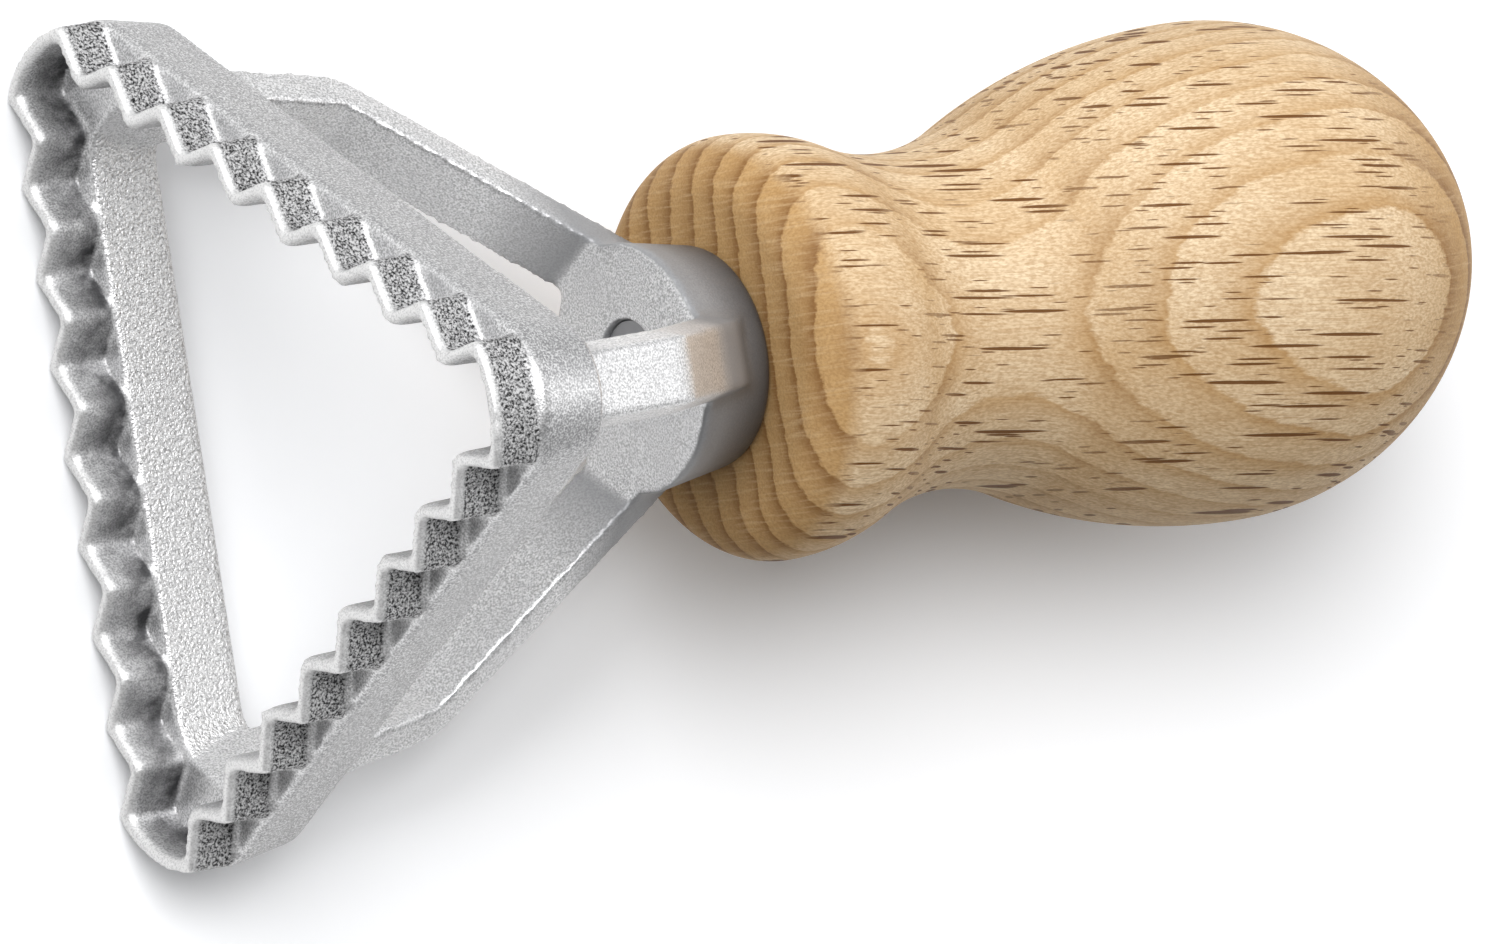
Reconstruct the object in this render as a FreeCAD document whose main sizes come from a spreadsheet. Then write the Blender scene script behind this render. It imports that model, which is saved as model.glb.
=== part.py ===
import FreeCAD, Part
import math
import os

import Sketcher
from FreeCAD import Placement, Rotation, Vector

# Ravioli stamp: a cast aluminium head with a triangular zigzag cutting rim,
# held by three cranked arms on a round hub, and a turned beech handle that
# one screw draws against the back of the hub.
# Tool frame: the rim stands in the plane Z = 0, +Z runs through the hub to
# the end of the handle, and one corner of the triangle points along +X.
# The finished pieces lie as the stamp comes to rest on a worktop: on one
# side of the triangle and on the bulb of the handle.

# The driving dimensions, in millimetres and degrees, from the rim where a
# height is given, and from the axis where a radius is given.
SIZES = (
    ("pitch", 7.0, "length of one zigzag wave along a side"),
    ("waves", 8, "waves on each side of the triangle"),
    ("corner_half", 4.32, "half the gap between the last outer points at a corner"),
    ("wave_depth", 2.8, "outer points to inner points, at the wall's centre"),
    ("wall", 1.15, "thickness of the cutting wall"),
    ("wall_height", 4.3, "rim to the ledge that the wall stands on"),
    ("corner_bulge", 1.0, "rise of the rounded corner wall over its chord"),
    ("ledge", 0.15, "ledge left outside the outer points"),
    ("band_height", 6.3, "ledge to the back of the band"),
    ("band_width", 3.95, "outer face to inner face of the band, at the ledge"),
    ("band_draft", 10.0, "draft of the band's outer face"),
    ("land", 0.8, "narrow land along the ledge, level when the stamp lies on it"),
    ("band_corner", 6.7, "outer corner radius of the band"),
    ("window_corner", 6.0, "inner corner radius of the band"),
    ("side_hollow", 3500.0, "radius of the barely hollow sides, which leave a worktop to the corners"),
    ("arm_inner_width", 6.8, "arm face towards the axis"),
    ("arm_outer_width", 5.0, "arm face away from the axis"),
    ("arm_setback", 5.55, "tip of the band's corner to the arm's outer face"),
    ("arm_root_thickness", 3.4, "arm thickness where it leaves the band"),
    ("arm_rise", 13.6, "back of the band to the outer edge of the knee"),
    ("knee_step", 3.0, "outer edge of the knee, inward of the arm's root"),
    ("knee_thickness", 3.35, "outer edge to inner edge of the knee"),
    ("knee_tilt", 16.5, "tilt of the knee's mitre"),
    ("knee_round", 6.0, "round on the outside of the knee"),
    ("arm_reach", 7.5, "end of the arm's outer face, inside the hub"),
    ("arm_shoulder", 1.2, "end of the arm's outer face to the seat"),
    ("arm_blend", 2.0, "hollow round between arm and hub"),
    ("hub_rise", 14.6, "outer edge of the knee to the front disc of the hub"),
    ("hub_length", 7.6, "front disc to the seat of the handle"),
    ("hub_radius", 9.9, "hub at the front disc"),
    ("hub_draft", 9.5, "taper of the hub's side"),
    ("hub_round", 1.1, "round on the hub's back edge"),
    ("screw_head", 7.4, "screw head diameter"),
    ("screw_head_height", 2.4, "screw head height"),
    ("screw_shank", 4.5, "screw shank diameter"),
    ("screw_grip", 26.0, "length of the shank inside the handle"),
    ("screw_tip", 4.0, "length of the screw's point"),
    ("screw_fit", 0.1, "clearance round the screw"),
    ("screw_sink", 0.6, "screw head below the hub's front disc"),
    ("slot_width", 1.2, "driver slot width"),
    ("slot_depth", 1.2, "driver slot depth"),
    ("knob_radius", 16.7, "widest place of the front knob"),
    ("knob_station", 4.4, "seat to the widest place of the knob"),
    ("neck_depth", 3.35, "narrowest place of the neck, below the knob"),
    ("neck_run", 15.0, "widest place of the knob to the neck"),
    ("neck_curve", 20.0, "hollow curve of the neck"),
    ("bulb_swell", 3.1, "widest place of the bulb, above the knob"),
    ("bulb_run", 29.2, "neck to the widest place of the bulb"),
    ("dome_step", 3.8, "radius of the rounded end, below the bulb's"),
    ("dome_stretch", 3.1, "widest place of the bulb to the end, over the bulb's radius"),
)

# What follows from the driving dimensions, as formulas of the same sheet.
DERIVED = (
    ("side_half", "=waves * pitch / 2", "middle of a side to its last outer point"),
    (
        "rim_inradius",
        "=(corner_half + side_half * cos(60deg)) / sin(60deg)",
        "outer points of the zigzag, at the wall's centre",
    ),
    ("band_inradius", "=rim_inradius + wall / 2 + ledge", "outer face of the band, at the ledge"),
    ("band_back", "=wall_height + band_height", "back of the band"),
    ("window_inradius", "=band_inradius - band_width", "inner face of the band"),
    ("band_centre", "=2 * (band_inradius - band_corner)", "centre of an outer corner"),
    ("window_centre", "=2 * (window_inradius - window_corner)", "centre of an inner corner"),
    ("last_x", "=rim_inradius * cos(60deg) + side_half * sin(60deg)", "last outer point, along the corner"),
    (
        "corner_radius",
        "=(corner_half ^ 2 + corner_bulge ^ 2) / (2 * corner_bulge)",
        "corner wall, at its centre",
    ),
    ("corner_centre", "=last_x + corner_bulge - corner_radius", "centre of the corner wall's arc"),
    ("arm_root", "=band_centre + band_corner - arm_setback", "arm outer face, at the band's back"),
    ("foot_outer", "=arm_root + band_height * knee_step / arm_rise", "arm outer face, at the ledge"),
    ("foot_inner", "=foot_outer - arm_root_thickness", "arm inner face, at the ledge"),
    ("knee_radius", "=arm_root - knee_step", "outer edge of the knee"),
    ("knee_height", "=band_back + arm_rise", "outer edge of the knee"),
    ("hub_front", "=knee_height + hub_rise", "front disc of the hub"),
    ("seat", "=hub_front + hub_length", "plane where handle and hub meet"),
    ("arm_end_height", "=seat - arm_shoulder", "end of the arm's outer face"),
    (
        "arm_slope",
        "=atan((knee_radius - arm_reach) / (arm_end_height - knee_height)) / 1deg",
        "upper arm against the axis",
    ),
    ("arm_thickness", "=knee_thickness * cos((arm_slope - knee_tilt) * 1deg)", "upper arm, square across"),
    ("hub_taper", "=tan(hub_draft * 1deg)", "hub's side, inward for each mm of height"),
    ("hub_back", "=hub_radius - hub_length * hub_taper", "hub radius at the seat, edge left sharp"),
    ("head_seat", "=hub_front + screw_sink + screw_head_height", "plane that the screw head draws on"),
    ("head_bore", "=screw_head / 2 + screw_fit", "radius of the counterbore"),
    ("shank_bore", "=screw_shank / 2 + screw_fit", "radius of the screw hole"),
    ("screw_end", "=seat + screw_grip", "point of the screw"),
    ("neck_radius", "=knob_radius - neck_depth", "narrowest place of the neck"),
    ("bulb_radius", "=knob_radius + bulb_swell", "widest place of the bulb"),
    ("dome_radius", "=bulb_radius - dome_step", "rounded end of the handle"),
    ("knob_height", "=seat + knob_station", "widest place of the knob"),
    ("neck_height", "=knob_height + neck_run", "narrowest place of the neck"),
    ("bulb_height", "=neck_height + bulb_run", "widest place of the bulb"),
    ("handle_end", "=bulb_height + bulb_radius + dome_stretch", "rounded end of the handle"),
    ("lie_drop", "=band_inradius - bulb_radius", "side of the band outside the bulb"),
    ("lie_run", "=bulb_height - wall_height", "ledge to the bulb, along the axis"),
    ("lie_slope", "=atan(lie_drop / lie_run) / 1deg", "axis against the worktop"),
    ("land_corner", "=band_corner - land * lie_drop / lie_run", "outer corner radius behind the land"),
    ("land_hollow", "=side_hollow + land * lie_drop / lie_run", "hollow sides' radius behind the land"),
)

CORNERS = 3


def add_sheet(doc):
    """Spreadsheet with one row for each size."""
    sheet = doc.addObject("Spreadsheet::Sheet", "Sizes")
    for row, (alias, value, meaning) in enumerate(SIZES + DERIVED, 1):
        sheet.set("A%d" % row, meaning)
        sheet.set("B%d" % row, str(value))
        sheet.setAlias("B%d" % row, alias)
    doc.recompute()
    return sheet


def add_body(doc, label):
    body = doc.addObject("PartDesign::Body", label)
    body.Label = label
    return body


def origin_feature(body, role):
    """The body's own origin plane or axis with that role."""
    for feature in body.Origin.OriginFeatures:
        if feature.Role == role:
            return feature
    raise RuntimeError("no origin feature " + role)


def add_sketch(body, name, role="XY_Plane", height=None):
    """Sketch on one of the body's origin planes, lifted by an expression."""
    sketch = body.newObject("Sketcher::SketchObject", name)
    sketch.AttachmentSupport = [(origin_feature(body, role), "")]
    sketch.MapMode = "FlatFace"
    if height:
        sketch.setExpression("AttachmentOffset.Base.z", height)
    body.Document.recompute()
    return sketch


def drive(sketch, constraint, expression):
    """Add a dimension to the sketch and bind it to the sheet."""
    index = sketch.addConstraint(constraint)
    sketch.setExpression("Constraints[%d]" % index, expression)


def place(sketch, geometry, vertex, x, y):
    """Fix a vertex at (x, y); each is a pair of its value and its expression."""
    for kind, on_axis, (value, expression) in (("DistanceX", 2, x), ("DistanceY", 1, y)):
        if expression is None:
            axis = -2 if kind == "DistanceX" else -1
            sketch.addConstraint(Sketcher.Constraint("PointOnObject", geometry, vertex, axis))
        else:
            fixed = Sketcher.Constraint(kind, -1, 1, geometry, vertex, value)
            drive(sketch, fixed, expression)


def arc(centre, radius, start, end):
    """Arc that runs anticlockwise from one angle to another, in degrees."""
    circle = Part.Circle(Vector(centre[0], centre[1], 0), Vector(0, 0, 1), radius)
    return Part.ArcOfCircle(circle, math.radians(start), math.radians(end))


def segment(start, end):
    return Part.LineSegment(Vector(start[0], start[1], 0), Vector(end[0], end[1], 0))


def polar(radius, angle):
    return radius * math.cos(math.radians(angle)), radius * math.sin(math.radians(angle))


def add_rounded_triangle(sketch, size, centre, radius, side):
    """Triangle with round corners, one on the X axis, and slightly hollow sides.

    `centre` names the distance of the corners' centres from the axis,
    `radius` the radius of the corners and `side` that of the sides.
    """
    angles = [i * 360.0 / CORNERS for i in range(CORNERS)]
    half = 180.0 / CORNERS
    reach = size(centre)
    corner = size(radius)
    hollow = size(side)
    span = reach * math.sin(math.radians(half))
    bend = math.degrees(math.asin(span / (hollow + corner)))
    far = reach * math.cos(math.radians(half)) + math.sqrt((hollow + corner) ** 2 - span ** 2)
    arcs = []
    sides = []
    for angle in angles:
        bounds = (angle - half - bend, angle + half + bend)
        arcs.append(sketch.addGeometry(arc(polar(reach, angle), corner, *bounds)))
    for angle in angles:
        away = angle + half
        sides.append(sketch.addGeometry(arc(polar(far, away), hollow, away + 180 - bend, away + 180 + bend)))
    for i, side_arc in enumerate(sides):
        after = arcs[(i + 1) % CORNERS]
        sketch.addConstraint(Sketcher.Constraint("Tangent", arcs[i], 2, side_arc, 2))
        sketch.addConstraint(Sketcher.Constraint("Tangent", side_arc, 1, after, 1))
    drive(sketch, Sketcher.Constraint("Radius", arcs[0], corner), "Sizes." + radius)
    drive(sketch, Sketcher.Constraint("Radius", sides[0], hollow), "Sizes." + side)
    for i, angle in enumerate(angles):
        if i:
            sketch.addConstraint(Sketcher.Constraint("Equal", arcs[0], arcs[i]))
            sketch.addConstraint(Sketcher.Constraint("Equal", sides[0], sides[i]))
        x, y = polar(reach, angle)
        across = "Sizes.%s * cos(%gdeg)" % (centre, angle)
        up = "Sizes.%s * sin(%gdeg)" % (centre, angle) if i else None
        place(sketch, arcs[i], 3, (x, across), (y, up))


def add_zigzag_wave(sketch, size):
    """One wave of the wall, seen from behind: out, in and out again.

    The wave lies on the side of the triangle that faces -X, and its ends are
    round, so that neighbouring waves share them.
    """
    half = size("wall") / 2
    outer_x = -size("rim_inradius")
    inner_x = outer_x + size("wave_depth")
    low = -size("side_half")
    points = [(outer_x, low), (inner_x, low + size("pitch") / 2), (outer_x, low + size("pitch"))]
    rise = math.degrees(math.atan2(size("pitch") / 2, size("wave_depth")))
    fall = 180.0 - rise
    low_cap = sketch.addGeometry(arc(points[0], half, rise + 90, rise + 270))
    high_cap = sketch.addGeometry(arc(points[2], half, fall - 90, fall + 90))
    nose = sketch.addGeometry(arc(points[1], half, rise - 90, fall - 90))

    def off(point, angle):
        step = polar(half, angle)
        return point[0] + step[0], point[1] + step[1]

    notch = (inner_x - half / math.sin(math.radians(rise)), points[1][1])
    outer_low = sketch.addGeometry(segment(off(points[0], rise + 90), notch))
    outer_high = sketch.addGeometry(segment(notch, off(points[2], fall + 90)))
    inner_high = sketch.addGeometry(segment(off(points[2], fall - 90), off(points[1], fall - 90)))
    inner_low = sketch.addGeometry(segment(off(points[1], rise - 90), off(points[0], rise - 90)))
    for first, first_end, second, second_end in (
        (low_cap, 1, outer_low, 1),
        (outer_high, 2, high_cap, 2),
        (high_cap, 1, inner_high, 1),
        (inner_high, 2, nose, 2),
        (nose, 1, inner_low, 1),
        (inner_low, 2, low_cap, 2),
    ):
        sketch.addConstraint(Sketcher.Constraint("Tangent", first, first_end, second, second_end))
    sketch.addConstraint(Sketcher.Constraint("Coincident", outer_low, 2, outer_high, 1))
    sketch.addConstraint(Sketcher.Constraint("Parallel", outer_low, inner_low))
    sketch.addConstraint(Sketcher.Constraint("Equal", nose, low_cap))
    sketch.addConstraint(Sketcher.Constraint("Equal", nose, high_cap))
    drive(sketch, Sketcher.Constraint("Radius", nose, half), "Sizes.wall / 2")
    place(sketch, low_cap, 3, (points[0][0], "-Sizes.rim_inradius"), (points[0][1], "-Sizes.side_half"))
    place(
        sketch, nose, 3,
        (points[1][0], "Sizes.wave_depth - Sizes.rim_inradius"),
        (points[1][1], "Sizes.pitch / 2 - Sizes.side_half"),
    )
    place(
        sketch, high_cap, 3,
        (points[2][0], "-Sizes.rim_inradius"),
        (points[2][1], "Sizes.pitch - Sizes.side_half"),
    )


def add_corner_wall(sketch, size):
    """Round piece of wall that joins the last waves of two sides."""
    half = size("wall") / 2
    radius = size("corner_radius")
    centre = (size("corner_centre"), 0)
    last = (size("last_x"), size("corner_half"))
    reach = math.degrees(math.atan2(last[1], last[0] - centre[0]))
    outer = sketch.addGeometry(arc(centre, radius + half, -reach, reach))
    inner = sketch.addGeometry(arc(centre, radius - half, -reach, reach))
    high_cap = sketch.addGeometry(arc(last, half, reach, reach + 180))
    low_cap = sketch.addGeometry(arc((last[0], -last[1]), half, 180 - reach, 360 - reach))
    for first, first_end, second, second_end in (
        (outer, 2, high_cap, 1),
        (high_cap, 2, inner, 2),
        (inner, 1, low_cap, 1),
        (low_cap, 2, outer, 1),
    ):
        sketch.addConstraint(Sketcher.Constraint("Tangent", first, first_end, second, second_end))
    sketch.addConstraint(Sketcher.Constraint("Coincident", outer, 3, inner, 3))
    for wall_arc, offset, sign_name in ((outer, half, "+"), (inner, -half, "-")):
        wall_radius = Sketcher.Constraint("Radius", wall_arc, radius + offset)
        drive(sketch, wall_radius, "Sizes.corner_radius %s Sizes.wall / 2" % sign_name)
    place(sketch, outer, 3, (centre[0], "Sizes.corner_centre"), (0, None))
    for cap, sign, sign_name in ((high_cap, 1, ""), (low_cap, -1, "-")):
        height = Sketcher.Constraint("DistanceY", -1, 1, cap, 3, sign * last[1])
        drive(sketch, height, sign_name + "Sizes.corner_half")


def add_outline(sketch, points, names):
    """Closed outline of straight lines through points bound to the sheet."""
    lines = []
    for i, start in enumerate(points):
        lines.append(sketch.addGeometry(segment(start, points[(i + 1) % len(points)])))
    for i, line in enumerate(lines):
        after = lines[(i + 1) % len(lines)]
        sketch.addConstraint(Sketcher.Constraint("Coincident", line, 2, after, 1))
        x, y = names[i]
        place(sketch, line, 1, (points[i][0], x), (points[i][1], y))


def add_arm_section(body, name, size, base, turn, inner, outer):
    """Sketch of a trapezium across an arm, its wide edge towards the axis.

    `base` gives the expressions of the plane's origin, `turn` its slope in
    degrees and the expression of that; `inner` and `outer` are each a value
    and an expression along the plane's X axis.
    """
    sketch = add_sketch(body, name)
    angle, angle_name = turn
    sketch.AttachmentOffset = Placement(Vector(0, 0, 0), Rotation(Vector(0, -1, 0), angle))
    if angle_name:
        sketch.setExpression("AttachmentOffset.Rotation.Angle", angle_name)
    for direction, expression in base.items():
        sketch.setExpression("AttachmentOffset.Base." + direction, expression)
    wide = size("arm_inner_width") / 2
    narrow = size("arm_outer_width") / 2
    wide_name = "Sizes.arm_inner_width / 2"
    narrow_name = "Sizes.arm_outer_width / 2"
    add_outline(
        sketch,
        [(inner[0], -wide), (outer[0], -narrow), (outer[0], narrow), (inner[0], wide)],
        [(inner[1], "-" + wide_name), (outer[1], "-" + narrow_name),
         (outer[1], narrow_name), (inner[1], wide_name)],
    )
    return sketch


def add_arm(body, size):
    """Lower and upper arm above the corner on +X, mitred at the knee."""
    foot = add_arm_section(
        body, "arm_foot", size,
        {"z": "Sizes.wall_height"}, (0, None),
        (size("foot_inner"), "Sizes.foot_inner"),
        (size("foot_outer"), "Sizes.foot_outer"),
    )
    knee = add_arm_section(
        body, "arm_knee", size,
        {"x": "Sizes.knee_radius", "z": "Sizes.knee_height"},
        (size("knee_tilt"), "Sizes.knee_tilt"),
        (-size("knee_thickness"), "-Sizes.knee_thickness"),
        (0, None),
    )
    end = add_arm_section(
        body, "arm_end", size,
        {"x": "Sizes.arm_reach", "z": "Sizes.arm_end_height"},
        (size("arm_slope"), "Sizes.arm_slope"),
        (-size("arm_thickness"), "-Sizes.arm_thickness"),
        (0, None),
    )
    arm = body.newObject("PartDesign::AdditiveLoft", "arm")
    arm.Profile = foot
    arm.Sections = [knee, end]
    arm.Ruled = True
    return arm


def add_pad(body, name, sketch, length):
    pad = body.newObject("PartDesign::Pad", name)
    pad.Profile = sketch
    pad.setExpression("Length", length)
    return pad


def add_pocket(body, name, sketch, length):
    """Pocket that cuts from its sketch towards the handle."""
    pocket = body.newObject("PartDesign::Pocket", name)
    pocket.Profile = sketch
    pocket.Reversed = True
    pocket.setExpression("Length", length)
    return pocket


def add_polar(body, name, originals):
    """Copies of features, one at each corner of the triangle."""
    pattern = body.newObject("PartDesign::PolarPattern", name)
    pattern.Originals = originals
    pattern.Axis = (origin_feature(body, "Z_Axis"), [""])
    pattern.Angle = 360
    pattern.Occurrences = CORNERS
    body.Tip = pattern
    return pattern


def add_circle(sketch, radius, expression):
    circle = sketch.addGeometry(Part.Circle(Vector(0, 0, 0), Vector(0, 0, 1), radius))
    sketch.addConstraint(Sketcher.Constraint("Coincident", circle, 3, -1, 1))
    drive(sketch, Sketcher.Constraint("Radius", circle, radius), expression)


def add_revolution(body, name, sketch):
    turned = body.newObject("PartDesign::Revolution", name)
    turned.Profile = sketch
    turned.ReferenceAxis = (sketch, ["V_Axis"])
    turned.Angle = 360
    return turned


def add_fillet(body, name, radius, wanted):
    """Round the edges of the body so far that `wanted` picks."""
    base = body.Tip
    body.Document.recompute()
    edges = ["Edge%d" % i for i, edge in enumerate(base.Shape.Edges, 1) if wanted(edge)]
    fillet = body.newObject("PartDesign::Fillet", name)
    fillet.Base = (base, edges)
    fillet.setExpression("Radius", radius)
    return fillet


def middle_at(distance, height):
    """Pick edges by the place of their middle: off the axis, and up."""
    def wanted(edge):
        middle = edge.CenterOfMass
        off_axis = math.hypot(middle.x, middle.y)
        return abs(off_axis - distance) < 0.01 and abs(middle.z - height) < 0.01
    return wanted


def up_the_hub(size):
    """Pick the edges where the sides of the arms run up the hub."""
    half_way = (size("hub_front") + size("seat")) / 2

    def wanted(edge):
        ends = [vertex.Point for vertex in edge.Vertexes]
        on_side = [
            abs(math.hypot(end.x, end.y) + (end.z - size("hub_front")) * size("hub_taper")
                - size("hub_radius")) < 0.01
            for end in ends
        ]
        heights = [end.z for end in ends]
        return all(on_side) and min(heights) < half_way < max(heights)
    return wanted


def build_head(doc, size):
    """The casting: band, arms, hub, zigzag walls, corner walls."""
    body = add_body(doc, "stamp_head")

    edge = add_sketch(body, "ledge_outline", height="Sizes.wall_height")
    add_rounded_triangle(edge, size, "band_centre", "band_corner", "side_hollow")
    land = add_pad(body, "ledge_land", edge, "Sizes.land")
    land.setExpression("TaperAngle", "-Sizes.lie_slope")
    outline = add_sketch(body, "band_outline", height="Sizes.wall_height + Sizes.land")
    add_rounded_triangle(outline, size, "band_centre", "land_corner", "land_hollow")
    band = add_pad(body, "band", outline, "Sizes.band_height - Sizes.land")
    band.setExpression("TaperAngle", "-Sizes.band_draft")

    window = add_sketch(body, "window_outline", height="Sizes.wall_height")
    add_rounded_triangle(window, size, "window_centre", "window_corner", "side_hollow")
    add_pocket(body, "window", window, "Sizes.band_back")

    arm = add_arm(body, size)
    add_polar(body, "arms", [arm])
    add_fillet(body, "knees", "Sizes.knee_round", middle_at(size("knee_radius"), size("knee_height")))

    profile = add_sketch(body, "hub_profile", "XZ_Plane")
    add_outline(
        profile,
        [(0, size("hub_front")), (size("hub_radius"), size("hub_front")),
         (size("hub_back"), size("seat")), (0, size("seat"))],
        [(None, "Sizes.hub_front"), ("Sizes.hub_radius", "Sizes.hub_front"),
         ("Sizes.hub_back", "Sizes.seat"), (None, "Sizes.seat")],
    )
    add_revolution(body, "hub", profile)
    add_fillet(body, "hub_edge", "Sizes.hub_round", middle_at(0, size("seat")))
    add_fillet(body, "arm_blends", "Sizes.arm_blend", up_the_hub(size))

    wave_sketch = add_sketch(body, "wave_outline")
    add_zigzag_wave(wave_sketch, size)
    wave = add_pad(body, "wave", wave_sketch, "Sizes.wall_height")
    doc.recompute()
    waves = body.newObject("PartDesign::MultiTransform", "zigzag")
    waves.Originals = [wave]
    along = body.newObject("PartDesign::LinearPattern", "along_side")
    along.Direction = (wave_sketch, ["V_Axis"])
    along.setExpression("Length", "Sizes.pitch * (Sizes.waves - 1)")
    along.setExpression("Occurrences", "Sizes.waves")
    around = body.newObject("PartDesign::PolarPattern", "around_sides")
    around.Axis = (origin_feature(body, "Z_Axis"), [""])
    around.Angle = 360
    around.Occurrences = CORNERS
    waves.Transformations = [along, around]
    body.Tip = waves
    doc.recompute()

    corner_sketch = add_sketch(body, "corner_outline")
    add_corner_wall(corner_sketch, size)
    corner = add_pad(body, "corner_wall", corner_sketch, "Sizes.wall_height")
    add_polar(body, "corner_walls", [corner])

    head_hole = add_sketch(body, "screw_head_outline", height="Sizes.hub_front")
    add_circle(head_hole, size("head_bore"), "Sizes.head_bore")
    add_pocket(body, "counterbore", head_hole, "Sizes.screw_sink + Sizes.screw_head_height")
    shank_hole = add_sketch(body, "screw_shank_outline", height="Sizes.hub_front")
    add_circle(shank_hole, size("shank_bore"), "Sizes.shank_bore")
    add_pocket(body, "screw_passage", shank_hole, "Sizes.hub_length")
    doc.recompute()
    return body


def add_handle_profile(sketch, size):
    """Half section of the handle: knob, neck, bulb and dome as tangent arcs.

    The knob's back, the bulb's front and the bulb's back take the radii that
    make them tangent to their neighbours.
    """
    seat = size("seat")
    end = size("handle_end")
    edge = size("knob_station")
    neck_curve = size("neck_curve")
    dome = size("dome_radius")
    knob = (size("knob_radius"), size("knob_height"))
    neck = (size("neck_radius"), size("neck_height"))
    bulb = (size("bulb_radius"), size("bulb_height"))

    def radius_to_neck(widest):
        """Radius that meets the neck's hollow from a widest place."""
        rise = widest[1] - neck[1]
        drop = widest[0] - neck[0]
        return (rise ** 2 + drop ** 2) / (2 * drop) - neck_curve

    knob_back = radius_to_neck(knob)
    bulb_front = radius_to_neck(bulb)
    rest = end - bulb[1]
    bulb_back = (rest ** 2 + bulb[0] ** 2 - 2 * rest * dome) / (2 * (bulb[0] - dome))
    neck_centre = (neck[0] + neck_curve, neck[1])
    knob_centre = (knob[0] - knob_back, knob[1])
    front_centre = (bulb[0] - bulb_front, bulb[1])
    back_centre = (bulb[0] - bulb_back, bulb[1])
    dome_centre = (0, end - dome)

    def bearing(start, finish):
        return math.degrees(math.atan2(finish[1] - start[1], finish[0] - start[0]))

    leave_knob = bearing(knob_centre, neck_centre)
    meet_bulb = bearing(front_centre, neck_centre)
    leave_bulb = bearing(back_centre, dome_centre)
    face = sketch.addGeometry(segment((0, seat), (knob[0] - edge, seat)))
    arcs = (
        ((knob[0] - edge, knob[1]), edge, -90, 0),
        (knob_centre, knob_back, 0, leave_knob),
        (neck_centre, neck_curve, 180 + meet_bulb, 180 + leave_knob),
        (front_centre, bulb_front, meet_bulb, 0),
        (back_centre, bulb_back, 0, leave_bulb),
        (dome_centre, dome, leave_bulb, 90),
    )
    knob_arc, knob_tail, neck_arc, bulb_arc, bulb_tail, dome_arc = [
        sketch.addGeometry(arc(*values)) for values in arcs
    ]
    axis = sketch.addGeometry(segment((0, end), (0, seat)))
    for first, first_end, second, second_end in (
        (face, 2, knob_arc, 1),
        (knob_arc, 2, knob_tail, 1),
        (knob_tail, 2, neck_arc, 2),
        (neck_arc, 1, bulb_arc, 1),
        (bulb_arc, 2, bulb_tail, 1),
        (bulb_tail, 2, dome_arc, 1),
    ):
        sketch.addConstraint(Sketcher.Constraint("Tangent", first, first_end, second, second_end))
    sketch.addConstraint(Sketcher.Constraint("Coincident", dome_arc, 2, axis, 1))
    sketch.addConstraint(Sketcher.Constraint("Coincident", axis, 2, face, 1))
    sketch.addConstraint(Sketcher.Constraint("Horizontal", face))
    sketch.addConstraint(Sketcher.Constraint("Horizontal", knob_arc, 3, knob_tail, 3))
    sketch.addConstraint(Sketcher.Constraint("PointOnObject", dome_arc, 3, -2))
    place(
        sketch, knob_arc, 3,
        (knob[0] - edge, "Sizes.knob_radius - Sizes.knob_station"),
        (knob[1], "Sizes.knob_height"),
    )
    place(
        sketch, neck_arc, 3,
        (neck_centre[0], "Sizes.neck_radius + Sizes.neck_curve"),
        (neck[1], "Sizes.neck_height"),
    )
    place(sketch, face, 1, (0, None), (seat, "Sizes.seat"))
    place(sketch, bulb_arc, 2, (bulb[0], "Sizes.bulb_radius"), (bulb[1], "Sizes.bulb_height"))
    drive(sketch, Sketcher.Constraint("DistanceY", -1, 1, bulb_arc, 3, bulb[1]), "Sizes.bulb_height")
    drive(sketch, Sketcher.Constraint("Radius", neck_arc, neck_curve), "Sizes.neck_curve")
    drive(sketch, Sketcher.Constraint("Radius", dome_arc, dome), "Sizes.dome_radius")
    place(sketch, dome_arc, 2, (0, None), (end, "Sizes.handle_end"))


def build_handle(doc, size):
    """The turned handle, bored for the screw."""
    body = add_body(doc, "handle")
    profile = add_sketch(body, "handle_profile", "XZ_Plane")
    add_handle_profile(profile, size)
    add_revolution(body, "turning", profile)
    hole = add_sketch(body, "screw_hole_outline", height="Sizes.seat")
    add_circle(hole, size("shank_bore"), "Sizes.shank_bore")
    add_pocket(body, "screw_hole", hole, "Sizes.screw_grip + Sizes.screw_fit")
    doc.recompute()
    return body


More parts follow.
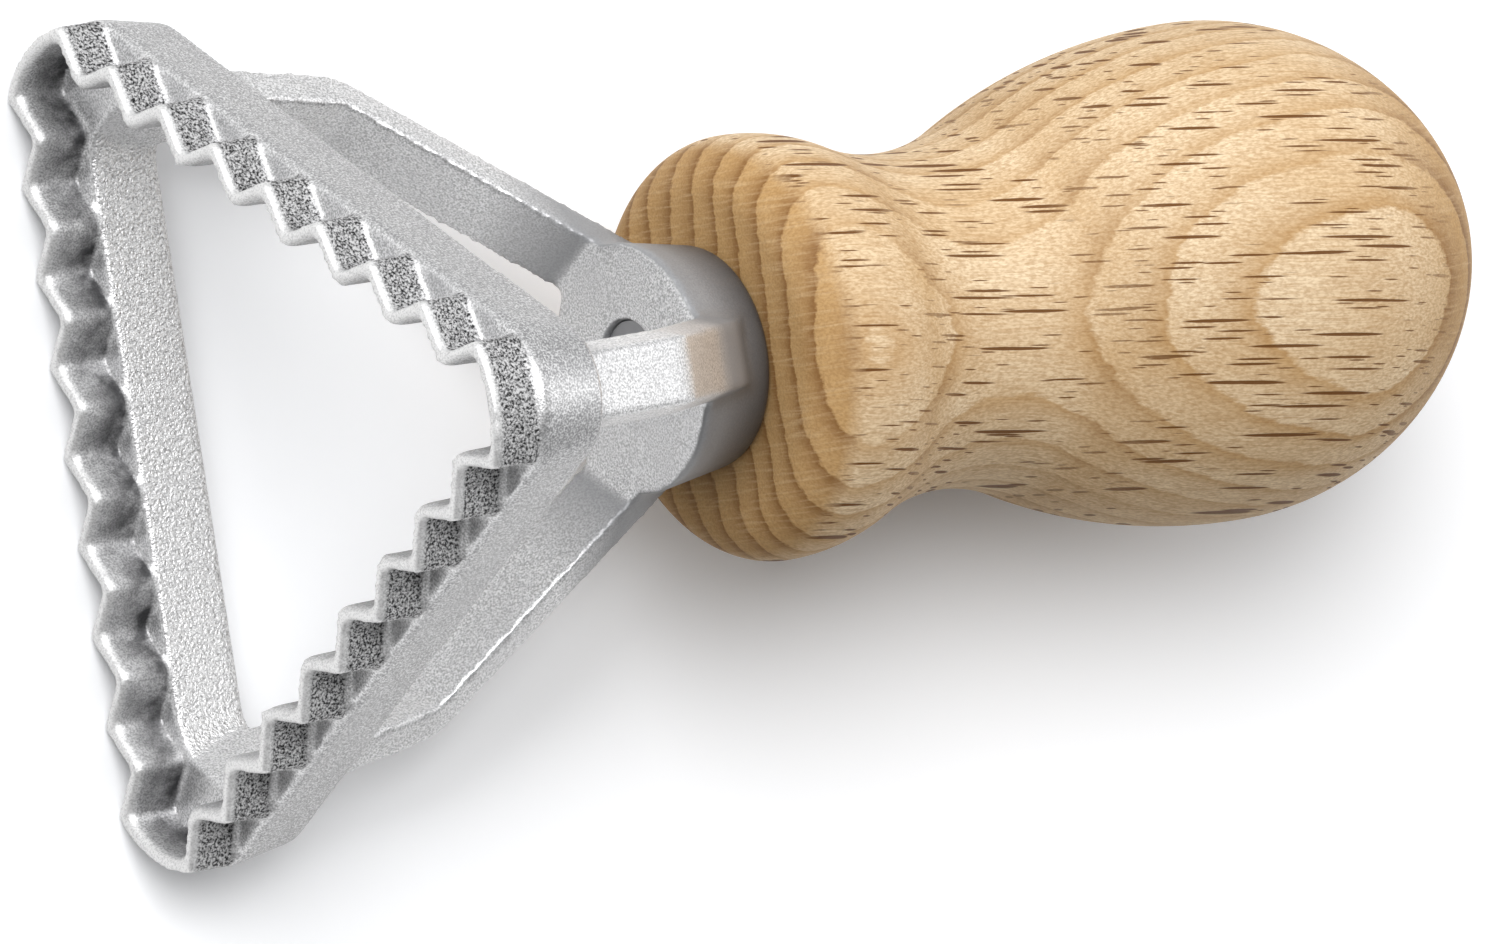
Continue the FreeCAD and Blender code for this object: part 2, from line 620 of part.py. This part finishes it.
def build_screw(doc, size):
    """Slotted screw: its head draws on the counterbore's floor."""
    body = add_body(doc, "handle_screw")
    head = size("screw_head") / 2
    shank = size("screw_shank") / 2
    top = size("hub_front") + size("screw_sink")
    head_name = "Sizes.screw_head / 2"
    shank_name = "Sizes.screw_shank / 2"
    top_name = "Sizes.hub_front + Sizes.screw_sink"
    profile = add_sketch(body, "screw_profile", "XZ_Plane")
    add_outline(
        profile,
        [(0, top), (head, top), (head, size("head_seat")), (shank, size("head_seat")),
         (shank, size("screw_end") - size("screw_tip")), (0, size("screw_end"))],
        [(None, top_name), (head_name, top_name), (head_name, "Sizes.head_seat"),
         (shank_name, "Sizes.head_seat"), (shank_name, "Sizes.screw_end - Sizes.screw_tip"),
         (None, "Sizes.screw_end")],
    )
    add_revolution(body, "screw_turning", profile)
    slot = add_sketch(body, "slot_outline", height=top_name)
    width = size("slot_width") / 2
    width_name = "Sizes.slot_width / 2"
    add_outline(
        slot,
        [(-head, -width), (head, -width), (head, width), (-head, width)],
        [("-" + head_name, "-" + width_name), (head_name, "-" + width_name),
         (head_name, width_name), ("-" + head_name, width_name)],
    )
    add_pocket(body, "slot", slot, "Sizes.slot_depth")
    doc.recompute()
    return body


def lying_placement(size):
    """Tool frame to the frame of rest.

    +X runs from the rim to the handle's end, +Z is up, and the stamp touches
    Z = 0 with the ledge edge of its lowest side and with the bulb. The origin
    is under the middle of the length.
    """
    slope = math.degrees(math.atan2(size("lie_drop"), size("lie_run")))
    turn = Rotation(Vector(0, 1, 0), slope - 90).multiply(Rotation(Vector(1, 0, 0), 180))
    ledge = turn.multVec(Vector(-size("band_inradius"), 0, size("wall_height")))
    front = turn.multVec(Vector(-size("rim_inradius") - size("wall") / 2, 0, 0))
    dome = turn.multVec(Vector(0, 0, size("handle_end") - size("dome_radius")))
    back = dome.x + size("dome_radius")
    return Placement(Vector(-(front.x + back) / 2, 0, -ledge.z), turn)


def check(doc, bodies):
    """Stop on a failed object or on a piece that isn't one sound solid."""
    for obj in doc.Objects:
        if "Invalid" in obj.State or "Error" in obj.State:
            raise RuntimeError("%s failed: %s" % (obj.Name, obj.State))
    for body in bodies:
        shape = body.Shape
        if shape.isNull() or not shape.isValid() or len(shape.Solids) != 1:
            raise RuntimeError("%s is not one valid solid" % body.Label)


def main():
    doc = FreeCAD.newDocument("ravioli_stamp")
    sheet = add_sheet(doc)

    def size(alias):
        value = sheet.get(alias)
        return float(getattr(value, "Value", value))

    bodies = [build_head(doc, size), build_handle(doc, size), build_screw(doc, size)]
    placement = lying_placement(size)
    for body in bodies:
        body.Placement = placement
    doc.recompute()
    check(doc, bodies)
    os.makedirs("parts", exist_ok=True)
    for body in bodies:
        body.Shape.exportStep("parts/%s.step" % body.Label)
        box = body.Shape.BoundBox
        print("%s: %.1f mm3, x %.2f to %.2f, y %.2f to %.2f, z %.2f to %.2f" % (
            body.Label, body.Shape.Volume, box.XMin, box.XMax, box.YMin, box.YMax, box.ZMin, box.ZMax))


main()
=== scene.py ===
import math

import bpy
from mathutils import Matrix, Quaternion, Vector


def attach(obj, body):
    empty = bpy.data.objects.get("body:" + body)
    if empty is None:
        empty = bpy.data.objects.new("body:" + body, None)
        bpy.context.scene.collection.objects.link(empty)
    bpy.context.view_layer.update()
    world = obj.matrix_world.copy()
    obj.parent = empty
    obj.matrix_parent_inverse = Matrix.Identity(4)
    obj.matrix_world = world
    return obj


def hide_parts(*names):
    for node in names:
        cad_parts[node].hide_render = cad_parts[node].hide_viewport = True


# A triangular ravioli stamp lying on a white table, seen from above on the side
# of its rim: sand-cast aluminium head, turned beech handle, steel screw.
# Metres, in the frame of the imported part: +X from the rim to the handle's end,
# +Z up, and the table at Z = 0. A height is measured from the plane of the rim
# along the handle's axis.

MM = 0.001

# Where the rim's plane meets the handle's axis, the fall of that axis, and the
# angles about it at which the triangle's sides face out.
RIM_CENTRE = Vector((-58.6876 * MM, 0, 21.9719 * MM))
AXIS_FALL = math.radians(1.31316)
SIDE_ANGLES = (-90.0, 30.0, 150.0)

# The head, remeshed so that its edges turn as round as a casting's. The inner
# faces of its zigzag wall are smoothed more, up to a height.
CAST_VOXEL = 0.36 * MM
CAST_SMOOTHING = 5
INSIDE_SMOOTHING = 36
INSIDE_HEIGHT = 4.0 * MM
INSIDE_FACING = -0.15
SMOOTH_FACTOR = 0.5

# Heights between which the casting's finish, its painted shade and its painted
# highlight change, and the distances from the axis between which the hub's ends.
LEDGE = 4.3 * MM
WALL_END = (LEDGE - 0.3 * MM, LEDGE)
# RIM_END: heights over which the rim's painted highlight fades.
RIM_END = (0.35 * MM, 0.8 * MM)
ROUGH_START = (0.5 * MM, 0.9 * MM)
# INSIDE_START: heights over which the painted shade inside the wall deepens.
INSIDE_START = (0.6 * MM, 3.6 * MM)
FLANK_START = (LEDGE - 0.1 * MM, LEDGE + 0.5 * MM)
FLANK_END = (13.0 * MM, 16.0 * MM)
OPENING_START = (LEDGE, LEDGE + 0.4 * MM)
HUB_START = (33.0 * MM, 38.0 * MM)
# Heights over which the hub's painted shade deepens towards the handle.
HUB_PAINTED_SHADE = (41.0 * MM, 46.2 * MM)
HUB_REACH = (17.0 * MM, 20.0 * MM)

# The handle's outline in millimetres: radii, and heights. SEAT_RING is the
# radius of a ring of points on the flat seat.
SEAT = 46.4
SEAT_RING = 10.0
KNOB = (16.7, 50.8)
KNOB_EDGE = 4.4
NECK = (13.35, 65.8)
NECK_CURVE = 20.0
BULB = (19.8, 95.0)
DOME = 16.0
HANDLE_END = 117.9
HANDLE_STEPS = 160

# The wood: its fibres against the handle's axis, seen from above, the
# thickness of its growth layers, and how far they bend and waver.
FIBRE_TURN = math.radians(7.4)
LAYER = 2.8 * MM
LAYER_OFFSET = -1.3 * MM
LAYER_ARCH = -4.0
LAYER_FALL = 2.6
LAYER_FALL_START = 10.0 * MM
LAYER_TILT = -0.23
LAYER_TILT_END = 40.0 * MM
LAYER_WAVER = 4.2 * MM
LAYER_RAGGED = 1.1 * MM

# How dark a layer is, by the share of its thickness that has grown, and where
# the next one starts.
LAYER_DARKNESS = ((0.3, 0.05), (0.65, 0.38), (0.94, 1.0))
NEXT_LAYER = 0.1

# The flecks: cells a metre along, across and through the grain, and the part
# of a cell that a fleck takes.
FLECKS = (
    ((58.0, 1700.0, 260.0), 0.2),
    ((80.0, 2100.0, 340.0), 0.16),
    ((140.0, 2600.0, 520.0), 0.11),
)
FLECK_EDGE = 0.05

# The camera of the photo: lens and sensor in millimetres.
CAMERA_PLACE = (-0.9034554226, 0.0323474703, 1.3225612504)
CAMERA_TURN = (0.9518963924, 0.0101715694, -0.2963253016, -0.0773376556)
CAMERA_LENS = 488.66
CAMERA_SENSOR = 36.0
CAMERA_CLIP = (0.1, 20.0)

# The table and the studio: a wide soft sun, and levels of the world, where 1
# is white.
TABLE_REACH = 3.0
SUN_TRAVEL = (0.6, -0.55, -1.0)
SUN_STRENGTH = 2.7
SUN_ANGLE = math.radians(46.0)
STUDIO_LEVEL = 0.1
MIRROR_LEVEL = 0.12
WALL_LEVEL = 1.2
SIDE_LEVEL = 0.5


def along_axis(height, across, up):
    """Place in the part's frame of a point given in millimetres from the
    rim's centre: along the axis, across, and up."""
    cos, sin = math.cos(AXIS_FALL), math.sin(AXIS_FALL)
    point = Vector((height * cos + up * sin, across, up * cos - height * sin))
    return RIM_CENTRE + point * MM


def stamp_axis():
    """Direction of the axis, from the rim to the handle's end."""
    return (along_axis(1, 0, 0) - RIM_CENTRE).normalized()


def triangle_sides():
    """Directions square to the three sides of the triangle, out of it."""
    angles = [math.radians(angle) for angle in SIDE_ANGLES]
    return [(along_axis(0, math.cos(a), math.sin(a)) - RIM_CENTRE).normalized() for a in angles]


class Nodes:
    """Short ways to add and join shader nodes."""

    def __init__(self, tree):
        self.tree = tree
        tree.nodes.clear()

    def put(self, socket, value):
        if hasattr(value, "is_output"):
            self.tree.links.new(value, socket)
        else:
            socket.default_value = value

    def add(self, kind, values=None, **settings):
        node = self.tree.nodes.new("ShaderNode" + kind)
        for key, value in settings.items():
            setattr(node, key, value)
        for key, value in (values or {}).items():
            self.put(node.inputs[key], value)
        return node

    def math(self, operation, a, b=0.0, c=0.0):
        return self.add("Math", {0: a, 1: b, 2: c}, operation=operation).outputs[0]

    def product(self, *factors):
        result = factors[0]
        for factor in factors[1:]:
            result = self.math("MULTIPLY", result, factor)
        return result

    def total(self, *terms):
        result = terms[0]
        for term in terms[1:]:
            result = self.math("ADD", result, term)
        return result

    def mix(self, factor, a, b):
        """Colour between a, at a factor of 0, and b, at 1."""
        node = self.add("Mix", data_type="RGBA")
        values = {"Factor_Float": factor, "A_Color": a, "B_Color": b}
        for socket in node.inputs:
            if socket.identifier in values:
                self.put(socket, values[socket.identifier])
        return [out for out in node.outputs if out.identifier == "Result_Color"][0]

    def layered(self, colour, *layers):
        """Lay colours over the first one in turn, each with its share."""
        for share, layer in layers:
            colour = self.mix(share, colour, layer)
        return colour

    def span(self, value, low, high, to_low=0.0, to_high=1.0):
        """Map value from low..high to to_low..to_high, held at both ends."""
        node = self.add("MapRange", {0: value, 1: low, 2: high, 3: to_low, 4: to_high})
        node.clamp = True
        return node.outputs[0]

    def noise(self, vector, scale, detail=2.0, roughness=0.5):
        """Noise of so many cells a metre."""
        values = {"Vector": vector, "Scale": scale, "Detail": detail, "Roughness": roughness}
        return self.add("TexNoise", values).outputs[0]

    def fibred(self, vector, scale, detail, roughness=0.5):
        """Noise of different scales along, across and through the grain."""
        return self.noise(self.stretched(vector, scale), 1.0, detail, roughness)

    def vector(self, operation, a, b):
        return self.add("VectorMath", {0: a, 1: b}, operation=operation)

    def stretched(self, vector, scale):
        return self.vector("MULTIPLY", vector, scale).outputs[0]

    def dot(self, a, b):
        return self.vector("DOT_PRODUCT", a, b).outputs["Value"]

    def parts(self, vector):
        return self.add("SeparateXYZ", {0: vector}).outputs

    def place(self):
        return self.add("TexCoord").outputs["Object"]


def new_material(name):
    material = bpy.data.materials.new(name)
    material.use_nodes = True
    return material, Nodes(material.node_tree)


def show(name, mesh, material=None):
    """Put a mesh in the scene under its own name."""
    if material:
        mesh.materials.clear()
        mesh.materials.append(material)
    shown = bpy.data.objects.new(name, mesh)
    bpy.context.collection.objects.link(shown)
    return shown


def rgb(red, green, blue):
    """Scene colour of a colour written as it shows on a screen, 0 to 255."""
    def linear(value):
        value /= 255.0
        return value / 12.92 if value <= 0.04045 else ((value + 0.055) / 1.055) ** 2.4
    return (linear(red), linear(green), linear(blue), 1.0)


def grey(value):
    """Scene colour of a barely cool grey."""
    return rgb(value, value, value + 1)


def stamp_coordinates(n, place):
    """Height above the rim's plane, distance from the axis, and how far the
    surface faces out of the nearest side of the triangle and to the front."""
    normal = n.add("NewGeometry").outputs["Normal"]
    axis = tuple(stamp_axis())
    from_rim = n.vector("SUBTRACT", place, RIM_CENTRE).outputs[0]
    height = n.dot(from_rim, axis)
    along = n.add("VectorMath", {0: axis, "Scale": height}, operation="SCALE").outputs[0]
    outward = n.vector("SUBTRACT", from_rim, along).outputs[0]
    off_axis = n.add("VectorMath", {0: outward}, operation="LENGTH").outputs["Value"]
    farthest, facing_out = -1.0, 0.0
    for side in triangle_sides():
        distance = n.dot(outward, tuple(side))
        nearer = n.math("GREATER_THAN", distance, farthest)
        change = n.math("SUBTRACT", n.dot(normal, tuple(side)), facing_out)
        facing_out = n.math("MULTIPLY_ADD", nearer, change, facing_out)
        farthest = n.math("MAXIMUM", distance, farthest)
    facing_front = n.math("MULTIPLY", n.dot(normal, axis), -1.0)
    return height, off_axis, facing_out, facing_front


def cast_aluminium():
    """Sand-cast aluminium, tumbled bright but rough outside the zigzag wall; painted shade
    inside the wall and on the hub, a painted highlight on the rim.
    """
    material, n = new_material("cast aluminium")
    place = n.place()
    height, off_axis, facing_out, facing_front = stamp_coordinates(n, place)

    fine = n.noise(place, 6200.0, 1.0)
    grain = n.noise(place, 5000.0, 2.0, 0.6)
    sand = n.noise(place, 3300.0, 2.0, 0.6)
    cloud = n.noise(place, 110.0)
    # Patches in the painted shade inside the wall.
    wear_and_shade = n.noise(place, 420.0, 2.0, 0.6)

    # Outside the wall the sand's grain stayed, from just under the rim to the ledge.
    on_wall = n.span(height, *WALL_END, 1.0, 0.0)
    rough = n.product(
        on_wall,
        n.span(height, *ROUGH_START),
        n.span(facing_out, 0.25, 0.45),
        n.span(facing_front, 0.35, 0.6, 1.0, 0.0),
    )
    # Inside the wall, painted shade: the inner faces darken the deeper they lie.
    inside = n.product(
        on_wall,
        n.span(height, *INSIDE_START, 0.3, 1.0),
        n.span(facing_out, -0.5, -0.2, 1.0, 0.0),
    )
    # The edge of the rim, with a painted highlight, the faces of the triangular
    # opening, the outer sides of the band, and the hub's side, painted darker as
    # shade and darker still towards the handle.
    rim = n.span(height, *RIM_END, 1.0, 0.0)
    opening = n.product(
        n.span(facing_out, -0.7, -0.3, 1.0, 0.0),
        n.span(height, *OPENING_START),
    )
    flank = n.product(
        n.span(facing_out, 0.4, 0.7),
        n.span(height, *FLANK_START),
        n.span(height, *FLANK_END, 1.0, 0.0),
    )
    hub = n.product(
        n.span(height, *HUB_START),
        n.span(off_axis, *HUB_REACH, 1.0, 0.0),
        n.span(facing_front, 0.7, 0.9, 1.0, 0.0),
    )

    tone = n.layered(
        grey(180),
        (n.span(fine, 0.34, 0.66), grey(252)),
        (n.span(cloud, 0.35, 0.65, 0.0, 0.3), rgb(206, 206, 208)),
        (n.product(opening, n.span(sand, 0.4, 0.6, 0.0, 0.6)), rgb(250, 250, 250)),
        # Painted shade on the inner faces of the wall.
        (n.product(inside, n.span(wear_and_shade, 0.4, 0.6, 0.95, 0.5)), rgb(66, 66, 68)),
        (n.product(flank, n.span(fine, 0.38, 0.62, 0.8, 0.3)), rgb(144, 144, 146)),
        # Painted shade: the hub's side a darker grey, darkest towards the handle.
        (n.product(hub, 0.9), rgb(146, 147, 150)),
        (n.product(hub, n.span(height, *HUB_PAINTED_SHADE, 0.0, 0.9)), rgb(50, 52, 56)),
        (rough, n.mix(n.span(grain, 0.38, 0.62), grey(46), grey(216))),
        # Painted highlight along the rim's edge.
        (n.product(rim, n.span(fine, 0.4, 0.6, 0.5, 0.9)), rgb(238, 238, 238)),
    )

    relief = n.total(
        n.product(fine, 0.5),
        n.product(grain, n.span(rough, 0.0, 1.0, 0.35, 1.0)),
        n.product(sand, n.span(opening, 0.0, 1.0, 0.25, 3.0)),
    )
    strength = n.total(0.4, n.product(rough, 0.3), n.product(opening, 0.5))
    bump = n.add("Bump", {"Strength": strength, "Distance": 0.1 * MM, "Height": relief})
    dullness = n.total(rough, n.product(on_wall, 0.8))
    shader = n.add("BsdfPrincipled", {
        "Base Color": tone,
        "Metallic": n.span(hub, 0.0, 1.0, 0.92, 0.3),
        "Roughness": n.span(dullness, 0.0, 1.0, 0.42, 0.56),
        "Normal": bump.outputs[0],
    })
    n.add("OutputMaterial", {"Surface": shader.outputs[0]})
    return material


def growth_layers(n, place, fibres):
    """How late in the year each layer grew: 0 pale, 1 dark, with a sharp end."""
    x, y, z = n.parts(place)
    waver = n.fibred(fibres, (24.0, 60.0, 60.0), 2.0)
    ragged = n.fibred(fibres, (260.0, 800.0, 800.0), 4.0, 0.7)
    past = n.math("MAXIMUM", n.math("SUBTRACT", x, LAYER_FALL_START), 0.0)
    layer = n.total(
        z,
        n.product(y, y, LAYER_ARCH),
        n.product(past, past, LAYER_FALL),
        n.product(y, n.span(x, 0.0, LAYER_TILT_END, 0.0, LAYER_TILT)),
        n.product(waver, LAYER_WAVER),
        LAYER_OFFSET,
        n.product(ragged, LAYER_RAGGED),
    )
    late = n.add("ValToRGB", {0: n.math("FRACT", n.math("DIVIDE", layer, LAYER))})
    ramp = late.color_ramp.elements
    ramp[0].color = (0.0, 0.0, 0.0, 1.0)
    ramp[1].color = (NEXT_LAYER, NEXT_LAYER, NEXT_LAYER, 1.0)
    for grown, darkness in LAYER_DARKNESS:
        ramp.new(grown).color = (darkness, darkness, darkness, 1.0)
    return late.outputs[0]


def beech():
    """Plain-sawn beech: layers level at the knob and falling away at the bulb."""
    material, n = new_material("oiled beech")
    place = n.place()
    turned = {"Vector": place, "Rotation": (0.0, 0.0, FIBRE_TURN)}
    fibres = n.add("Mapping", turned).outputs[0]
    late = growth_layers(n, place, fibres)

    # Layers, clouds, then thin streaks along the grain and the weave of cut cells.
    patches = n.fibred(fibres, (22.0, 70.0, 70.0), 1.0)
    cloud = n.fibred(fibres, (40.0, 160.0, 160.0), 2.0)
    fibre = n.fibred(fibres, (240.0, 6000.0, 6000.0), 3.0, 0.65)
    weave = n.fibred(fibres, (2200.0, 5200.0, 5200.0), 1.0)
    tone = n.layered(
        rgb(245, 223, 189),
        (n.product(late, n.span(patches, 0.35, 0.65, 0.4, 0.85)), rgb(186, 144, 90)),
        (n.span(cloud, 0.4, 0.7, 0.0, 0.4), rgb(206, 168, 116)),
        (n.span(fibre, 0.4, 0.7, 0.0, 0.55), rgb(176, 134, 84)),
        (n.span(weave, 0.4, 0.62, 0.0, 0.34), rgb(160, 118, 70)),
    )

    # The cut ends drink more oil, and rays cross their layers.
    facing = n.math("ABSOLUTE", n.parts(n.add("NewGeometry").outputs["Normal"])[0])
    end_grain = n.span(facing, 0.28, 0.6)
    rays = n.fibred(place, (160.0, 3400.0, 240.0), 2.0, 0.6)
    end_tone = n.layered(
        rgb(198, 158, 104),
        (n.product(late, 0.9), rgb(126, 84, 42)),
        (n.span(rays, 0.5, 0.72, 0.0, 0.5), rgb(222, 190, 146)),
        (n.span(weave, 0.35, 0.7, 0.0, 0.3), rgb(134, 94, 54)),
    )
    tone = n.mix(n.product(end_grain, 0.9), tone, end_tone)

    # Ray flecks: dark lenses along the fibres, some long and some short.
    flecks = 0.0
    for size, reach in FLECKS:
        values = {"Vector": n.stretched(fibres, size), "Scale": 1.0, "Randomness": 1.0}
        distance = n.add("TexVoronoi", values).outputs["Distance"]
        spot = n.span(distance, reach, reach + FLECK_EDGE, 1.0, 0.0)
        flecks = n.math("MAXIMUM", spot, flecks)
    flecks = n.product(flecks, n.math("SUBTRACT", 1.0, end_grain))
    tone = n.mix(n.product(flecks, 0.95), tone, rgb(106, 66, 28))

    relief = n.math("SUBTRACT", n.product(fibre, 0.6), n.product(flecks, 0.9))
    bump = n.add("Bump", {"Strength": 0.35, "Distance": 0.08 * MM, "Height": relief})
    shader = n.add("BsdfPrincipled", {
        "Base Color": tone,
        "Roughness": n.span(fibre, 0.3, 0.7, 0.45, 0.58),
        "Specular IOR Level": 0.1,
        "Normal": bump.outputs[0],
    })
    n.add("OutputMaterial", {"Surface": shader.outputs[0]})
    return material


def screw_steel():
    """Turned steel with faint rings."""
    material, n = new_material("screw steel")
    rings = n.fibred(n.place(), (60.0, 2400.0, 2400.0), 2.0)
    shader = n.add("BsdfPrincipled", {
        "Base Color": rgb(150, 150, 152),
        "Metallic": 1.0,
        "Roughness": n.span(rings, 0.3, 0.7, 0.3, 0.42),
    })
    n.add("OutputMaterial", {"Surface": shader.outputs[0]})
    return material


def white_table():
    """Matt table, seen and mirrored as a white that keeps its shadow."""
    material, n = new_material("white table")
    path = n.add("LightPath")
    faint = n.noise(n.place(), 8.0)
    seen = n.mix(faint, (1.08, 1.09, 1.11, 1.0), (1.09, 1.1, 1.12, 1.0))
    mirrored = (0.92, 0.92, 0.92, 1.0)
    lighting = (0.48, 0.45, 0.4, 1.0)
    tint = n.mix(path.outputs["Is Glossy Ray"], lighting, mirrored)
    tint = n.mix(path.outputs["Is Camera Ray"], tint, seen)
    shader = n.add("BsdfDiffuse", {"Color": tint})
    n.add("OutputMaterial", {"Surface": shader.outputs[0]})
    return material


def arc_points(centre, radius, start, end, steps):
    """Points (radius from the axis, height) on an arc, its first one left out."""
    angles = [start + (end - start) * step / steps for step in range(1, steps + 1)]
    return [(centre[0] + radius * math.cos(a), centre[1] + radius * math.sin(a)) for a in angles]


def handle_outline():
    """Outline of the handle from its seat to its end, in millimetres."""
    def to_neck(widest):
        rise, drop = widest[1] - NECK[1], widest[0] - NECK[0]
        return (rise ** 2 + drop ** 2) / (2 * drop) - NECK_CURVE

    def bearing(start, end):
        return math.atan2(end[1] - start[1], end[0] - start[0])

    knob_back, bulb_front = to_neck(KNOB), to_neck(BULB)
    rest = HANDLE_END - BULB[1]
    bulb_back = (rest ** 2 + BULB[0] ** 2 - 2 * rest * DOME) / (2 * (BULB[0] - DOME))
    edge_centre = (KNOB[0] - KNOB_EDGE, KNOB[1])
    knob_centre = (KNOB[0] - knob_back, KNOB[1])
    neck_centre = (NECK[0] + NECK_CURVE, NECK[1])
    front_centre = (BULB[0] - bulb_front, BULB[1])
    back_centre = (BULB[0] - bulb_back, BULB[1])
    dome_centre = (0.0, HANDLE_END - DOME)
    leave_knob = bearing(knob_centre, neck_centre)
    meet_bulb = bearing(front_centre, neck_centre)
    leave_bulb = bearing(back_centre, dome_centre)
    quarter = math.pi / 2
    points = [(SEAT_RING, SEAT), (edge_centre[0], SEAT)]

    # Centre and radius of each arc, the angles it runs between, and its steps.
    for arc in (
        (edge_centre, KNOB_EDGE, -quarter, 0.0, 20),
        (knob_centre, knob_back, 0.0, leave_knob, 24),
        (neck_centre, NECK_CURVE, math.pi + leave_knob, math.pi + meet_bulb, 32),
        (front_centre, bulb_front, meet_bulb, 0.0, 40),
        (back_centre, bulb_back, 0.0, leave_bulb, 24),
        (dome_centre, DOME, leave_bulb, quarter, 32),
    ):
        points += arc_points(*arc)
    return points


def build_handle(material):
    """The handle's skin, turned about its axis."""
    outline = handle_outline()[:-1]
    vertices, faces = [], []
    for radius, height in outline:
        for step in range(HANDLE_STEPS):
            angle = 2 * math.pi * step / HANDLE_STEPS
            across, up = radius * math.sin(angle), radius * math.cos(angle)
            vertices.append(along_axis(height, across, up))
    front, back = len(vertices), len(vertices) + 1
    vertices += [along_axis(SEAT, 0, 0), along_axis(HANDLE_END, 0, 0)]
    last = (len(outline) - 1) * HANDLE_STEPS
    for low in range(0, last, HANDLE_STEPS):
        high = low + HANDLE_STEPS
        for step in range(HANDLE_STEPS):
            after = (step + 1) % HANDLE_STEPS
            faces.append((low + step, low + after, high + after, high + step))
    for step in range(HANDLE_STEPS):
        after = (step + 1) % HANDLE_STEPS
        faces.append((front, after, step))
        faces.append((back, last + step, last + after))
    mesh = bpy.data.meshes.new("handle_turned")
    mesh.from_pydata([tuple(v) for v in vertices], [], faces)
    mesh.update()
    mesh.shade_smooth()
    return show("handle_turned", mesh, material)


def smoothed(shape, iterations, group=""):
    """The mesh of an object after its modifiers and a smoothing; the object goes."""
    smooth = shape.modifiers.new("smooth", "SMOOTH")
    smooth.factor = SMOOTH_FACTOR
    smooth.iterations = iterations
    smooth.vertex_group = group
    graph = bpy.context.evaluated_depsgraph_get()
    mesh = bpy.data.meshes.new_from_object(shape.evaluated_get(graph))
    bpy.data.objects.remove(shape)
    return mesh


def build_casting(node, material):
    """The head with the soft edges of a casting, softest inside its wall."""
    source = show("casting_source", node.data.copy())
    remesh = source.modifiers.new("skin", "REMESH")
    remesh.mode = "VOXEL"
    remesh.voxel_size = CAST_VOXEL
    skin = smoothed(source, CAST_SMOOTHING)

    wear_and_shade = show("casting_worn", skin)
    inside = wear_and_shade.vertex_groups.new(name="inside")
    sides, axis = triangle_sides(), stamp_axis()
    for vertex in skin.vertices:
        place = vertex.co - RIM_CENTRE
        nearest = max(sides, key=place.dot)
        if place.dot(axis) < INSIDE_HEIGHT and vertex.normal.dot(nearest) < INSIDE_FACING:
            inside.add([vertex.index], 1.0, "ADD")
    mesh = smoothed(wear_and_shade, INSIDE_SMOOTHING, "inside")
    mesh.shade_smooth()
    return show("stamp_casting", mesh, material)


def add_table(material):
    reach = TABLE_REACH
    corners = [(-reach, -reach, 0), (reach, -reach, 0), (reach, reach, 0), (-reach, reach, 0)]
    mesh = bpy.data.meshes.new("table")
    mesh.from_pydata(corners, [], [(0, 1, 2, 3)])
    return show("table", mesh, material)


def add_camera():
    data = bpy.data.cameras.new("photo")
    data.sensor_width = CAMERA_SENSOR
    data.lens = CAMERA_LENS
    data.clip_start, data.clip_end = CAMERA_CLIP
    camera = bpy.data.objects.new("photo", data)
    turn = Quaternion(CAMERA_TURN).to_matrix().to_4x4()
    camera.matrix_world = Matrix.Translation(CAMERA_PLACE) @ turn
    bpy.context.collection.objects.link(camera)
    bpy.context.scene.camera = camera


def add_sun():
    data = bpy.data.lights.new("window", "SUN")
    data.energy = SUN_STRENGTH
    data.angle = SUN_ANGLE
    light = bpy.data.objects.new("window", data)
    light.rotation_euler = Vector(SUN_TRAVEL).to_track_quat("-Z", "Y").to_euler()
    bpy.context.collection.objects.link(light)


def add_world():
    """A dim studio, with a bright wall past the handle's end and paler to +Y."""
    world = bpy.data.worlds.new("studio")
    world.use_nodes = True
    n = Nodes(world.node_tree)
    x, y, z = n.parts(n.add("TexCoord").outputs["Generated"])
    wall = n.product(
        n.span(n.math("ABSOLUTE", y), 0.2, 0.65, 1.0, 0.3),
        n.span(x, 0.1, 0.5),
        n.span(z, 0.0, 0.25),
    )
    side = n.product(n.span(y, 0.0, 0.8), n.span(z, -0.1, 0.3))
    mirrored = n.add("LightPath").outputs["Is Glossy Ray"]
    strength = n.total(
        STUDIO_LEVEL,
        n.product(mirrored, MIRROR_LEVEL),
        n.product(wall, WALL_LEVEL),
        n.product(side, SIDE_LEVEL),
    )
    background = n.add("Background", {"Color": (1.0, 1.0, 1.0, 1.0), "Strength": strength})
    n.add("OutputWorld", {"Surface": background.outputs[0]})
    bpy.context.scene.world = world


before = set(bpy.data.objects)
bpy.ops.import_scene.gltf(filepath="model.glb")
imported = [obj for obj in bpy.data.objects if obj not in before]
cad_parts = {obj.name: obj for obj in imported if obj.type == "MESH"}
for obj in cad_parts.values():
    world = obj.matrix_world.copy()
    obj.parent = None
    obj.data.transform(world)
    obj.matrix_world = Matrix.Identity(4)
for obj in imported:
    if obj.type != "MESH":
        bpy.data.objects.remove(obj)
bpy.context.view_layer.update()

casting = build_casting(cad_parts["stamp_head"], cast_aluminium())
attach(casting, "root")
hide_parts("stamp_head")

handle = build_handle(beech())
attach(handle, "root")
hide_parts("handle")

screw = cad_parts["handle_screw"]
screw.data.materials.clear()
screw.data.materials.append(screw_steel())

add_table(white_table())
add_world()
add_sun()
add_camera()

bpy.context.scene.view_settings.view_transform = "Standard"
